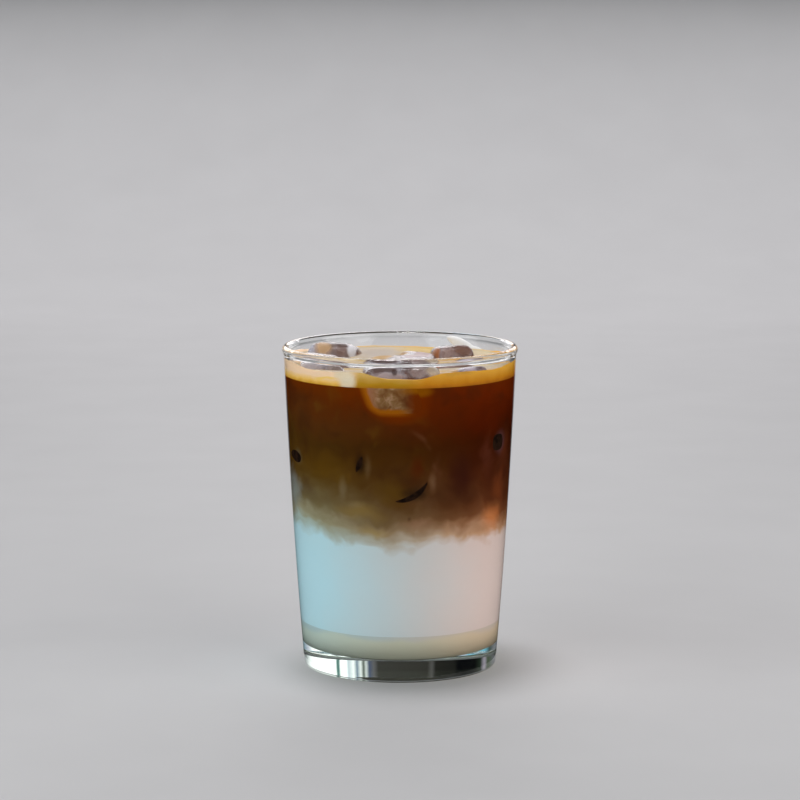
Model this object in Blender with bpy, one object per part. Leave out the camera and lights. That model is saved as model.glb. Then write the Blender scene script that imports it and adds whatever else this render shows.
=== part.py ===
"""Iced layered latte in a clear, heavy-based tumbler.

Metres, +Z up, the tumbler standing on z = 0 with its axis on Z. From the bottom up it holds
condensed milk, milk, coffee and crema, with six ice cubes floating at the top.
"""

import math

import bmesh
import bpy
from mathutils import Euler, Matrix, Vector, noise

# Driving dimensions of the tumbler
RIM_RADIUS = 0.0410
HEIGHT = 0.1123
WALL_RADIUS_LOW = 0.03366
WALL_RADIUS_MIDDLE = 0.03772
WALL_RADIUS_TOP = 0.04042
BEAD_DEPTH = 0.0030
BEAD_ROUND = 0.00135
WALL_THICKNESS_TOP = 0.0022
WALL_THICKNESS_LOW = 0.0028
HEEL_ROUND = 0.0006
FLOOR_HEIGHT = 0.0070
FLOOR_ROUND = 0.0075
PUNT_RADIUS = 0.0272
PUNT_RISE = 0.0003

# Levels of the drink
SYRUP_LEVEL = 0.0160
MIX_LEVEL = 0.0565
CREMA_BOTTOM = 0.1023
SURFACE_LEVEL = 0.1067

# Uneven surfaces: waves round the axis as height, count and phase, then a tilt and a dome
MIX_LOBES = ((0.0016, 5, 0.7), (0.0010, 9, 2.1))
MIX_TILT = 0.0032
MIX_HIGH_SIDE = math.radians(160)
MIX_DOME = 0.0015
FOAM_SWELL = ((0.00025, 3, 0.4), (0.00015, 7, 1.9))

# Gaps and fineness
GAP = 0.0003
POCKET_GAP = 0.00045
SEGMENTS = 60
CAP_RINGS = 4
CORNER_STEPS = 5
WALL_STEPS = 5
BEAD_STEPS = 7
BEAD_START = math.radians(-30)
ICE_GRID = 5
SHARP_ANGLE = math.radians(40)

# Ice: centre and half sizes of each cube in metres, then its turns in degrees
ICE_CUBES = {
    "ice_front": ((0.0006, -0.0232, 0.1006), (0.0130, 0.0121, 0.0099), (4.0, -2.0, 2.0)),
    "ice_left_back": ((-0.0236, 0.0144, 0.1004), (0.0080, 0.0093, 0.0106), (-5.0, 5.0, -22.0)),
    "ice_left_front": ((-0.0273, -0.0068, 0.0996), (0.0076, 0.0088, 0.0098), (4.0, 6.0, 10.0)),
    "ice_right_back": ((0.0186, 0.0140, 0.1004), (0.0074, 0.0069, 0.0098), (-5.0, -4.0, 12.0)),
    "ice_right_front": ((0.0225, -0.0195, 0.0988), (0.0058, 0.0067, 0.0094), (3.0, -5.0, -42.0)),
    "ice_middle": ((0.0050, 0.0006, 0.0994), (0.0070, 0.0078, 0.0097), (3.0, 5.0, -8.0)),
}
ICE_SQUARENESS = 4.2
ICE_WOBBLE = 0.0004
ICE_WOBBLE_SCALE = 140.0


def linear(red, green, blue):
    """Turn a display colour, 0 to 255, into the linear colour that a material takes."""
    def channel(value):
        part = value / 255
        return part / 12.92 if part <= 0.04045 else ((part + 0.055) / 1.055) ** 2.4

    return channel(red), channel(green), channel(blue), 1.0


def make_material(name, colour, roughness, transmission=0.0, ior=1.45):
    material = bpy.data.materials.new(name)
    material.use_nodes = True
    shader = material.node_tree.nodes["Principled BSDF"]
    shader.inputs["Base Color"].default_value = colour
    shader.inputs["Roughness"].default_value = roughness
    shader.inputs["Metallic"].default_value = 0.0
    shader.inputs["Transmission Weight"].default_value = transmission
    shader.inputs["IOR"].default_value = ior
    return material


def add_object(name, mesh_data, material):
    """Link a finished bmesh as one named object with round faces shaded smooth."""
    bmesh.ops.recalc_face_normals(mesh_data, faces=mesh_data.faces)
    mesh = bpy.data.meshes.new(name)
    mesh_data.to_mesh(mesh)
    mesh_data.free()
    mesh.materials.append(material)
    mesh.shade_smooth()
    mesh.set_sharp_from_angle(angle=SHARP_ANGLE)
    piece = bpy.data.objects.new(name, mesh)
    bpy.context.collection.objects.link(piece)
    return piece


def outer_radius(height):
    """Outside of the wall: a slightly convex taper through three measured radii."""
    middle, top = HEIGHT / 2, HEIGHT - BEAD_DEPTH
    low_part = (height - middle) * (height - top) / (middle * top)
    middle_part = height * (top - height) / (middle * (top - middle))
    top_part = height * (height - middle) / (top * (top - middle))
    return WALL_RADIUS_LOW * low_part + WALL_RADIUS_MIDDLE * middle_part + WALL_RADIUS_TOP * top_part


def inner_radius(height):
    """Inside of the wall, which thickens towards the base."""
    share = height / HEIGHT
    thickness = WALL_THICKNESS_LOW + (WALL_THICKNESS_TOP - WALL_THICKNESS_LOW) * share
    return outer_radius(height) - thickness


def rounded_corner(radius_at, floor, rounding, steps, inset=0.0):
    """Profile points of a quarter round from a flat floor into the wall above it."""
    reach = rounding - inset
    points = []
    for step in range(steps + 1):
        angle = math.pi / 2 * step / steps
        height = floor + inset + reach * (1 - math.cos(angle))
        points.append((radius_at(height) - inset - reach * (1 - math.sin(angle)), height))
    return points


def wall_heights(low, high):
    """Heights between two ends of a wall, without the ends."""
    return [low + (high - low) * step / WALL_STEPS for step in range(1, WALL_STEPS)]


def tumbler_profile():
    """The glass in section: under the base, up the outside, over the bead, down to the floor."""
    under = [(0.0, PUNT_RISE)]
    for share in (0.45, 0.8, 1.0):
        under.append((PUNT_RADIUS * share, PUNT_RISE * (1 - share ** 2)))
    heel = rounded_corner(outer_radius, 0.0, HEEL_ROUND, CORNER_STEPS - 1)
    neck = HEIGHT - BEAD_DEPTH
    outside = [(outer_radius(height), height) for height in wall_heights(HEEL_ROUND, neck)]
    outside.append((outer_radius(neck), neck))
    bead = []
    for step in range(BEAD_STEPS + 1):
        angle = BEAD_START + (math.pi - BEAD_START) * step / BEAD_STEPS
        radius = RIM_RADIUS - BEAD_ROUND + BEAD_ROUND * math.cos(angle)
        bead.append((radius, HEIGHT - BEAD_ROUND + BEAD_ROUND * math.sin(angle)))
    inside_heights = wall_heights(FLOOR_HEIGHT + FLOOR_ROUND, HEIGHT - BEAD_ROUND)
    inside = [(inner_radius(height), height) for height in reversed(inside_heights)]
    floor_corner = rounded_corner(inner_radius, FLOOR_HEIGHT, FLOOR_ROUND, CORNER_STEPS)
    return under + heel + outside + bead + inside + floor_corner[::-1] + [(0.0, FLOOR_HEIGHT)]


def add_ring(mesh_data, radii, heights):
    """One ring of points round the axis, with a radius and a height for each segment."""
    ring = []
    for segment, (radius, height) in enumerate(zip(radii, heights)):
        angle = 2 * math.pi * segment / SEGMENTS
        ring.append(mesh_data.verts.new((radius * math.cos(angle), radius * math.sin(angle), height)))
    return ring


def skin(mesh_data, low_pole, rings, high_pole):
    """Join rings into a closed body with a fan of triangles at each pole."""
    for segment in range(SEGMENTS):
        after = (segment + 1) % SEGMENTS
        mesh_data.faces.new((low_pole, rings[0][after], rings[0][segment]))
        mesh_data.faces.new((high_pole, rings[-1][segment], rings[-1][after]))
        for low, high in zip(rings, rings[1:]):
            mesh_data.faces.new((low[segment], low[after], high[after], high[segment]))


def turned_solid(name, profile, material):
    """Turn a profile that starts and ends on the axis."""
    mesh_data = bmesh.new()
    low_pole = mesh_data.verts.new((0, 0, profile[0][1]))
    high_pole = mesh_data.verts.new((0, 0, profile[-1][1]))
    rings = [
        add_ring(mesh_data, [radius] * SEGMENTS, [height] * SEGMENTS)
        for radius, height in profile[1:-1]
    ]
    skin(mesh_data, low_pole, rings, high_pole)
    return add_object(name, mesh_data, material)


def drink_layer(name, bottom, top, side_steps, material):
    """A layer that fills the tumbler between two surfaces, each a height over share and angle."""
    mesh_data = bmesh.new()
    angles = [2 * math.pi * segment / SEGMENTS for segment in range(SEGMENTS)]

    def wall_ring(share):
        heights = [bottom(1, angle) + share * (top(1, angle) - bottom(1, angle)) for angle in angles]
        return [inner_radius(height) - GAP for height in heights], heights

    def cap_ring(surface, edge_radii, share):
        radii = [radius * share for radius in edge_radii]
        return add_ring(mesh_data, radii, [surface(share, angle) for angle in angles])

    low_edge, high_edge = wall_ring(0)[0], wall_ring(1)[0]
    shares = [step / CAP_RINGS for step in range(1, CAP_RINGS)]
    rings = [cap_ring(bottom, low_edge, share) for share in shares]
    rings += [add_ring(mesh_data, *wall_ring(step / side_steps)) for step in range(side_steps + 1)]
    rings += [cap_ring(top, high_edge, share) for share in reversed(shares)]
    low_pole = mesh_data.verts.new((0, 0, bottom(0, 0)))
    high_pole = mesh_data.verts.new((0, 0, top(0, 0)))
    skin(mesh_data, low_pole, rings, high_pole)
    return add_object(name, mesh_data, material)


def flat(height):
    """A level surface; share is 0 on the axis and 1 at the wall."""
    return lambda share, angle: height


def waves(rows, angle):
    return sum(depth * math.sin(count * angle + phase) for depth, count, phase in rows)


def mix_surface(lift):
    """Where coffee meets milk: higher on the left, with rounded lobes that show at the wall."""
    def height(share, angle):
        tilt = MIX_TILT * math.cos(angle - MIX_HIGH_SIDE)
        lobes = waves(MIX_LOBES, angle)
        dome = MIX_DOME * (1 - share ** 2)
        return MIX_LEVEL + lift + share * (tilt + share * lobes) + dome

    return height


def foam_surface(share, angle):
    """Top of the crema, with a slight swell."""
    return SURFACE_LEVEL + share * waves(FOAM_SWELL, angle)


def ice_points(half_size, turn, centre, seed, grow=0.0):
    """Surface of a melting cube: a squarish rounded block with uneven faces, as a bmesh."""
    mesh_data = bmesh.new()
    bmesh.ops.create_cube(mesh_data, size=2.0)
    bmesh.ops.subdivide_edges(mesh_data, edges=mesh_data.edges, cuts=ICE_GRID - 1, use_grid_fill=True)
    place = Matrix.Translation(centre) @ Euler([math.radians(part) for part in turn]).to_matrix().to_4x4()
    offset = Vector((seed * 3.7, seed * 1.9, seed * 5.3))
    for vert in mesh_data.verts:
        spread = Vector([math.tan(part * math.pi / 4) for part in vert.co])
        size = sum(abs(part) ** ICE_SQUARENESS for part in spread) ** (1 / ICE_SQUARENESS)
        shape = spread / size
        point = Vector([part * half for part, half in zip(shape, half_size)])
        wobble = ICE_WOBBLE * noise.noise(point * ICE_WOBBLE_SCALE + offset)
        vert.co = point + point.normalized() * wobble + Vector([part * grow for part in shape])
    mesh_data.transform(place)
    return mesh_data


def make_ice(material):
    for seed, (name, (centre, half_size, turn)) in enumerate(ICE_CUBES.items()):
        add_object(name, ice_points(half_size, turn, centre, seed), material)


def make_ice_pockets(material):
    """One cutter that holds every ice cube, each grown by the gap to the drink round it."""
    joined = bmesh.new()
    for seed, (centre, half_size, turn) in enumerate(ICE_CUBES.values()):
        grown = ice_points(half_size, turn, centre, seed, grow=POCKET_GAP)
        spare = bpy.data.meshes.new("ice_pocket")
        grown.to_mesh(spare)
        grown.free()
        joined.from_mesh(spare)
        bpy.data.meshes.remove(spare)
    cutter = add_object("ice_pockets", joined, material)
    cutter.hide_render = True
    cutter.display_type = "WIRE"
    return cutter


def cut_out(piece, cutter):
    cut = piece.modifiers.new("Ice pockets", "BOOLEAN")
    cut.operation = "DIFFERENCE"
    cut.solver = "EXACT"
    cut.object = cutter


def syrup_profile():
    corner = rounded_corner(inner_radius, FLOOR_HEIGHT, FLOOR_ROUND, CORNER_STEPS, inset=GAP)
    top_radius = inner_radius(SYRUP_LEVEL) - GAP
    return [(0.0, FLOOR_HEIGHT + GAP)] + corner + [(top_radius, SYRUP_LEVEL), (0.0, SYRUP_LEVEL)]


def main():
    for piece in list(bpy.data.objects):
        bpy.data.objects.remove(piece, do_unlink=True)
    clear_glass = make_material("Clear glass", linear(232, 240, 236), 0.02, transmission=1.0, ior=1.5)
    ice = make_material("Ice", linear(214, 212, 216), 0.08, transmission=0.8, ior=1.31)
    syrup = make_material("Condensed milk", linear(186, 184, 164), 0.3)
    milk = make_material("Milk", linear(204, 214, 216), 0.3)
    coffee = make_material("Coffee", linear(78, 38, 14), 0.25)
    crema = make_material("Crema", linear(204, 160, 88), 0.45)

    turned_solid("glass", tumbler_profile(), clear_glass)
    turned_solid("condensed_milk", syrup_profile(), syrup)
    drink_layer("milk", flat(SYRUP_LEVEL + GAP), mix_surface(-GAP), 3, milk)
    coffee_layer = drink_layer("coffee", mix_surface(0.0), flat(CREMA_BOTTOM - GAP), 4, coffee)
    crema_layer = drink_layer("crema", flat(CREMA_BOTTOM), foam_surface, 1, crema)

    make_ice(ice)
    pockets = make_ice_pockets(ice)
    cut_out(coffee_layer, pockets)
    cut_out(crema_layer, pockets)


main()
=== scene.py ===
import math

import bmesh
import bpy
from mathutils import Euler, Matrix, Vector, noise


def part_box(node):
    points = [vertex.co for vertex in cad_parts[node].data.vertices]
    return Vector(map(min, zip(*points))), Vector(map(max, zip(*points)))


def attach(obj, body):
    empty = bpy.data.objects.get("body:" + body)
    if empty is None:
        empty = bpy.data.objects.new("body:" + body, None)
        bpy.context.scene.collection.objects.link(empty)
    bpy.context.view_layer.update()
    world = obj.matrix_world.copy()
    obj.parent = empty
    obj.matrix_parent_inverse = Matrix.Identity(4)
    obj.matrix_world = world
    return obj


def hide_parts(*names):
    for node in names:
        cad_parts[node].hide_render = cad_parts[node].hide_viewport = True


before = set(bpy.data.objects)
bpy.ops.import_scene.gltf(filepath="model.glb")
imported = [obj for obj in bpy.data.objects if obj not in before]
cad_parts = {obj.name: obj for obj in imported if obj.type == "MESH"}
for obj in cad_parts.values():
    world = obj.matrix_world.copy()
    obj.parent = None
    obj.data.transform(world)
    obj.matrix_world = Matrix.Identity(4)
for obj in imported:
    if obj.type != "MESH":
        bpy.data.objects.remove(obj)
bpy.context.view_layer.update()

# Tumbler, in metres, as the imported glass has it
RIM_RADIUS = (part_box("glass")[1].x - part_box("glass")[0].x) / 2
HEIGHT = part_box("glass")[1].z
WALL_RADIUS_LOW = 0.03366
WALL_RADIUS_MIDDLE = 0.03772
WALL_RADIUS_TOP = 0.04042
BEAD_DEPTH = 0.0030
BEAD_ROUND = 0.00135
WALL_THICKNESS_TOP = 0.0022
WALL_THICKNESS_LOW = 0.0028
HEEL_ROUND = 0.0006
FLOOR_HEIGHT = 0.0070
FLOOR_ROUND = 0.0075
PUNT_RADIUS = 0.0272
PUNT_RISE = 0.0003
GLASS_IOR = 1.5

# Levels of the drink
SYRUP_LEVEL = 0.0160
MIX_LEVEL = 0.0565
CREMA_BOTTOM = 0.1023
SURFACE_LEVEL = 0.1067

# Uneven surfaces: waves round the axis as height, count and phase, then a tilt and a dome
MIX_LOBES = ((0.0016, 5, 0.7), (0.0010, 9, 2.1))
MIX_TILT = 0.0032
MIX_HIGH_SIDE = math.radians(160)
MIX_DOME = 0.0015
FOAM_SWELL = ((0.00025, 3, 0.4), (0.00015, 7, 1.9))

# Foam: its froth as height and fineness, and its climb up the wall, all round and more at each side
FROTH = ((0.00012, 420), (0.0002, 120))
FOAM_CLIMB = 0.0006
FOAM_CLIMB_LEFT = 0.0016
FOAM_CLIMB_RIGHT = 0.0009

# Where the climb starts as a share of the radius, and where its sides start and are full, of the width
FOAM_CLIMB_FROM = 0.955
FOAM_SIDES = (0.78, 0.99)

# The foam's dip before the front cube: where it starts and is full, in y and off its middle in x
FOAM_DIP = 0.0016
DIP_MIDDLE = 0.0005
DIP_ALONG = (-0.030, -0.035)
DIP_ASIDE = (0.015, 0.004)

# How far the drink reaches into the glass wall, so that no air shows between them
BITE = 0.00015

# Fineness: segments round the axis, rings across a surface, steps along each stretch of a profile
SEGMENTS = 180
CAP_RINGS = 36
PUNT_STEPS = 10
HEEL_STEPS = 12
WALL_STEPS = 24
FOAM_STEPS = 6
FLOOR_STEPS = 16
BEAD_STEPS = 21

# The rim's round section, in degrees: it starts below the widest point and turns over to the inside
BEAD_START, BEAD_TURN = -30, 210

# Edges that bend by more than this stay sharp
SHARP_ANGLE = math.radians(50)

# Ice: centre and half sizes of each cube in metres, then its turns in degrees
ICE_CUBES = {
    "ice_front": ((0.0006, -0.0232, 0.1006), (0.0130, 0.0121, 0.0099), (4.0, -2.0, 2.0)),
    "ice_left_back": ((-0.0236, 0.0144, 0.1004), (0.0080, 0.0093, 0.0106), (-5.0, 5.0, -22.0)),
    "ice_left_front": ((-0.0273, -0.0068, 0.0996), (0.0076, 0.0088, 0.0098), (4.0, 6.0, 10.0)),
    "ice_right_back": ((0.0186, 0.0140, 0.1004), (0.0074, 0.0069, 0.0098), (-5.0, -4.0, 12.0)),
    "ice_right_front": ((0.0225, -0.0195, 0.0988), (0.0058, 0.0067, 0.0094), (3.0, -5.0, -42.0)),
    "ice_middle": ((0.0050, 0.0006, 0.0994), (0.0070, 0.0078, 0.0097), (3.0, 5.0, -8.0)),
}
ICE_SQUARENESS = 5.2
ICE_WOBBLE = ((0.0005, 140.0), (0.00012, 420.0))
ICE_SEED_STEP = (3.7, 1.9, 5.3)
ICE_GRID = 32
ICE_SINK = 0.0001
ICE_IOR = 1.31

# Camera, at the photograph's viewing angle
CAMERA_DISTANCE = 1.0
CAMERA_HEIGHT = 0.2381
CAMERA_PITCH = math.radians(8.263)
LENS = 130.5
SENSOR = 36.0

# The light on the drink's side as a share of white, so that colours can be named as they show
LIGHT_LEVEL = 0.70
CREMA_LIGHT = 0.82
TOP_LIGHT = 1.22
SYRUP_LIGHT = 0.51

MM = 0.001

# Sides of the drink, as the sign of y
FRONT, BACK = -1, 1


def srgb(red, green, blue):
    """Turn a display colour, 0 to 255, into the linear colour that a material takes."""
    def channel(value):
        part = value / 255
        return part / 12.92 if part <= 0.04045 else ((part + 0.055) / 1.055) ** 2.4

    return channel(red), channel(green), channel(blue), 1.0


def seen(red, green, blue, light=LIGHT_LEVEL):
    """The paint that shows as this display colour where this share of light falls on it."""
    parts = [min(0.95, part / light) for part in srgb(red, green, blue)[:3]]
    return *parts, 1.0


def smooth_step(low, high, value):
    """0 at low and before it, 1 at high and past it, and a smooth rise between them."""
    part = min(1, max(0, (value - low) / (high - low)))
    return part * part * (3 - 2 * part)


# Node helpers


class Graph:
    """Short calls for building one material's nodes."""

    def __init__(self, name):
        self.material = bpy.data.materials.new(name)
        self.material.use_nodes = True
        self.tree = self.material.node_tree
        self.shader = self.tree.nodes["Principled BSDF"]
        self.output = self.tree.nodes["Material Output"]

    def node(self, kind, feeds=(), **settings):
        """A node with these settings, whose inputs, by name or number, take these feeds."""
        made = self.tree.nodes.new(kind)
        for name, value in settings.items():
            setattr(made, name, value)
        for key, value in dict(feeds).items():
            self.feed(made.inputs[key], value)
        return made

    def feed(self, socket, value):
        if isinstance(value, bpy.types.NodeSocket):
            self.tree.links.new(value, socket)
        else:
            socket.default_value = value

    def math(self, operation, *values):
        return self.node("ShaderNodeMath", enumerate(values), operation=operation).outputs[0]

    def total(self, *values):
        result = values[0]
        for value in values[1:]:
            result = self.math("ADD", result, value)
        return result

    def times(self, *values):
        result = values[0]
        for value in values[1:]:
            result = self.math("MULTIPLY", result, value)
        return result

    def vector(self, operation, *values, scale=None):
        made = self.node("ShaderNodeVectorMath", enumerate(values), operation=operation)
        if scale is not None:
            self.feed(made.inputs["Scale"], scale)
        return made.outputs["Value" if operation == "LENGTH" else "Vector"]

    def place(self):
        """The point on the piece, in millimetres."""
        coords = self.node("ShaderNodeTexCoord").outputs["Object"]
        return self.vector("SCALE", coords, scale=1000.0)

    def split(self, vector):
        return self.node("ShaderNodeSeparateXYZ", {0: vector}).outputs

    def noise(self, vector, scale, detail=2.0, distortion=0.0, stretch=None, colour=False):
        if stretch:
            vector = self.vector("MULTIPLY", vector, stretch)
        feeds = {"Vector": vector, "Scale": scale, "Detail": detail, "Distortion": distortion}
        return self.node("ShaderNodeTexNoise", feeds).outputs["Color" if colour else "Fac"]

    def cracks(self, vector, scale, width):
        """Thin lines between the cells of a Voronoi pattern, 1 on the line."""
        feeds = {"Vector": vector, "Scale": scale}
        cells = self.node("ShaderNodeTexVoronoi", feeds, feature="DISTANCE_TO_EDGE")
        return self.spread(cells.outputs["Distance"], width, 0.0)

    def sway(self, vector, scale, reach, detail=2.0):
        """The same point moved about by noise, by up to about half the reach."""
        cloud = self.vector("SUBTRACT", self.noise(vector, scale, detail, colour=True), (0.5, 0.5, 0.5))
        return self.vector("ADD", vector, self.vector("SCALE", cloud, scale=reach))

    def spread(self, value, low, high, to_low=0.0, to_high=1.0, smooth=True):
        """The value's way from low to high, as a share unless other ends are given."""
        feeds = enumerate((value, low, high, to_low, to_high))
        kind = "SMOOTHSTEP" if smooth else "LINEAR"
        return self.node("ShaderNodeMapRange", feeds, interpolation_type=kind).outputs[0]

    def spot(self, vector, centre, size, hard=0.0):
        """1 at the centre of an ellipsoid of these half sizes, falling to 0 at its edge."""
        away = self.vector("DIVIDE", self.vector("SUBTRACT", vector, centre), size)
        return self.spread(self.vector("LENGTH", away), 1.0, hard)

    def band(self, value, middle, half_width):
        """1 where the value is at the middle, falling to 0 at half_width on both sides."""
        away = self.math("ABSOLUTE", self.math("SUBTRACT", value, middle))
        return self.spread(away, half_width, 0.0)

    def centred(self, value, reach):
        """A noise of 0 to 1 as plus or minus half the reach."""
        return self.times(self.math("SUBTRACT", value, 0.5), reach)

    def column(self, level, ends, rows, light=LIGHT_LEVEL):
        """Colours up the drink, each as it shows at its height."""
        return self.ramp(level, *ends, [(height, seen(*shown, light=light)) for height, shown in rows])

    def ramp(self, value, low, high, stops):
        """Colours at named values between low and high."""
        made = self.node("ShaderNodeValToRGB", {0: self.spread(value, low, high, smooth=False)})
        elements = made.color_ramp.elements
        while len(elements) < len(stops):
            elements.new(0.5)
        for element, (position, colour) in zip(elements, stops):
            element.position = (position - low) / (high - low)
            element.color = colour
        return made.outputs["Color"]

    def mix(self, factor, first, second):
        """The second colour over the first; this node has its colours at inputs 6 and 7 and output 2."""
        return self.node("ShaderNodeMix", {0: factor, 6: first, 7: second}, data_type="RGBA").outputs[2]

    def bump(self, height, strength, distance):
        """Relief from this height, 0 to 1, over a distance in metres."""
        feeds = {"Height": height, "Strength": strength, "Distance": distance}
        self.feed(self.shader.inputs["Normal"], self.node("ShaderNodeBump", feeds).outputs["Normal"])

    def set(self, **values):
        """Settings of the shader itself, by its own names with _ for each space."""
        for name, value in values.items():
            self.feed(self.shader.inputs[name.replace("_", " ")], value)

    def paint(self, colour, roughness, gloss=0.0):
        self.set(Base_Color=colour, Roughness=roughness, Specular_IOR_Level=gloss)

    def let_lamps_through(self):
        """Lamps light what is inside: shadow rays pass this surface as if it were clear."""
        path = self.node("ShaderNodeLightPath").outputs["Is Shadow Ray"]
        clear = self.node("ShaderNodeBsdfTransparent").outputs[0]
        either = self.node("ShaderNodeMixShader", {0: path, 1: self.shader.outputs[0], 2: clear})
        self.feed(self.output.inputs["Surface"], either.outputs[0])

    def absorb(self, colour, density):
        """Tint the light by how far it runs through the piece."""
        volume = self.node("ShaderNodeVolumeAbsorption", {"Color": colour, "Density": density})
        self.feed(self.output.inputs["Volume"], volume.outputs[0])


# Shapes


def add_object(name, mesh_data, material):
    """Link a finished bmesh as one named object with round faces shaded smooth."""
    bmesh.ops.recalc_face_normals(mesh_data, faces=mesh_data.faces)
    mesh = bpy.data.meshes.new(name)
    mesh_data.to_mesh(mesh)
    mesh_data.free()
    mesh.materials.append(material)
    mesh.shade_smooth()
    mesh.set_sharp_from_angle(angle=SHARP_ANGLE)
    piece = bpy.data.objects.new(name, mesh)
    bpy.context.collection.objects.link(piece)
    return piece


def hand_over(piece, slot, *nodes):
    """Ride the piece on the drink's one body, in the place of its CAD nodes."""
    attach(piece, "root")
    if nodes:
        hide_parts(*nodes)


def outer_radius(height):
    """Outside of the wall: a slightly convex taper through three measured radii."""
    middle, top = HEIGHT / 2, HEIGHT - BEAD_DEPTH
    low_part = (height - middle) * (height - top) / (middle * top)
    middle_part = height * (top - height) / (middle * (top - middle))
    top_part = height * (height - middle) / (top * (top - middle))
    return WALL_RADIUS_LOW * low_part + WALL_RADIUS_MIDDLE * middle_part + WALL_RADIUS_TOP * top_part


def inner_radius(height):
    """Inside of the wall, which thickens towards the base."""
    share = height / HEIGHT
    thickness = WALL_THICKNESS_LOW + (WALL_THICKNESS_TOP - WALL_THICKNESS_LOW) * share
    return outer_radius(height) - thickness


def wall_point(across, height, depth=0.0, side=FRONT):
    """The point on the front or back of the drink's side at this x and z, sunk in by depth."""
    radius = inner_radius(height) + BITE
    angle = math.asin(max(-1, min(1, across / radius)))
    reach = radius - depth
    return reach * math.sin(angle), side * reach * math.cos(angle), height


def on_front_wall(across, height):
    """The same point on the front, all in millimetres."""
    return tuple(part / MM for part in wall_point(across * MM, height * MM))


def rounded_corner(radius_at, floor, rounding, steps, inset=0.0):
    """Profile points of a quarter round from a flat floor into the wall above it."""
    reach = rounding - inset
    points = []
    for step in range(steps + 1):
        angle = math.pi / 2 * step / steps
        height = floor + inset + reach * (1 - math.cos(angle))
        points.append((radius_at(height) - inset - reach * (1 - math.sin(angle)), height))
    return points


def wall_heights(low, high):
    """Heights between two ends of a wall, without the ends."""
    return [low + (high - low) * step / WALL_STEPS for step in range(1, WALL_STEPS)]


def tumbler_profile():
    """The glass in section: under the base, up the outside, over the bead, down to the floor."""
    under = [(0.0, PUNT_RISE)]
    for step in range(1, PUNT_STEPS + 1):
        share = step / PUNT_STEPS
        under.append((PUNT_RADIUS * share, PUNT_RISE * (1 - share ** 2)))
    heel = rounded_corner(outer_radius, 0.0, HEEL_ROUND, HEEL_STEPS)
    neck = HEIGHT - BEAD_DEPTH
    outside = [(outer_radius(height), height) for height in wall_heights(HEEL_ROUND, neck)]
    outside.append((outer_radius(neck), neck))
    bead = []
    for step in range(BEAD_STEPS + 1):
        angle = math.radians(BEAD_START + BEAD_TURN * step / BEAD_STEPS)
        radius = RIM_RADIUS - BEAD_ROUND + BEAD_ROUND * math.cos(angle)
        bead.append((radius, HEIGHT - BEAD_ROUND + BEAD_ROUND * math.sin(angle)))
    inside_heights = wall_heights(FLOOR_HEIGHT + FLOOR_ROUND, HEIGHT - BEAD_ROUND)
    inside = [(inner_radius(height), height) for height in reversed(inside_heights)]
    floor_corner = rounded_corner(inner_radius, FLOOR_HEIGHT, FLOOR_ROUND, FLOOR_STEPS)
    return under + heel + outside + bead + inside + floor_corner[::-1] + [(0.0, FLOOR_HEIGHT)]


def add_ring(mesh_data, radii, heights):
    """One ring of points round the axis, with a radius and a height for each segment."""
    ring = []
    for segment, (radius, height) in enumerate(zip(radii, heights)):
        angle = 2 * math.pi * segment / SEGMENTS
        ring.append(mesh_data.verts.new((radius * math.cos(angle), radius * math.sin(angle), height)))
    return ring


def skin(mesh_data, low_pole, rings, high_pole):
    """Join rings into a closed body with a fan of triangles at each pole."""
    count = len(rings[0])
    for segment in range(count):
        after = (segment + 1) % count
        mesh_data.faces.new((low_pole, rings[0][after], rings[0][segment]))
        mesh_data.faces.new((high_pole, rings[-1][segment], rings[-1][after]))
        for low, high in zip(rings, rings[1:]):
            mesh_data.faces.new((low[segment], low[after], high[after], high[segment]))


def turned_solid(name, profile, material):
    """Turn a profile that starts and ends on the axis."""
    mesh_data = bmesh.new()
    low_pole = mesh_data.verts.new((0, 0, profile[0][1]))
    high_pole = mesh_data.verts.new((0, 0, profile[-1][1]))
    rings = [
        add_ring(mesh_data, [radius] * SEGMENTS, [height] * SEGMENTS)
        for radius, height in profile[1:-1]
    ]
    skin(mesh_data, low_pole, rings, high_pole)
    return add_object(name, mesh_data, material)


def drink_layer(name, bottom, top, side_steps, material):
    """A layer that fills the tumbler between two surfaces, each a height over share and angle."""
    mesh_data = bmesh.new()
    angles = [2 * math.pi * segment / SEGMENTS for segment in range(SEGMENTS)]

    def wall_ring(share):
        heights = [bottom(1, angle) + share * (top(1, angle) - bottom(1, angle)) for angle in angles]
        return [inner_radius(height) + BITE for height in heights], heights

    def cap_ring(surface, edge_radii, share):
        radii = [radius * share for radius in edge_radii]
        return add_ring(mesh_data, radii, [surface(share, angle) for angle in angles])

    low_edge, high_edge = wall_ring(0)[0], wall_ring(1)[0]
    shares = [step / CAP_RINGS for step in range(1, CAP_RINGS)]
    rings = [cap_ring(bottom, low_edge, share) for share in shares]
    rings += [add_ring(mesh_data, *wall_ring(step / side_steps)) for step in range(side_steps + 1)]
    rings += [cap_ring(top, high_edge, share) for share in reversed(shares)]
    low_pole = mesh_data.verts.new((0, 0, bottom(0, 0)))
    high_pole = mesh_data.verts.new((0, 0, top(0, 0)))
    skin(mesh_data, low_pole, rings, high_pole)
    return add_object(name, mesh_data, material)


def flat(height):
    """A level surface; share is 0 on the axis and 1 at the wall."""
    return lambda share, angle: height


def waves(rows, angle):
    return sum(depth * math.sin(count * angle + phase) for depth, count, phase in rows)


def mix_surface(share, angle):
    """Where coffee meets milk: higher on the left, with rounded lobes that show at the wall."""
    tilt = MIX_TILT * math.cos(angle - MIX_HIGH_SIDE)
    lobes = waves(MIX_LOBES, angle)
    dome = MIX_DOME * (1 - share ** 2)
    return MIX_LEVEL + share * (tilt + share * lobes) + dome


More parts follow.
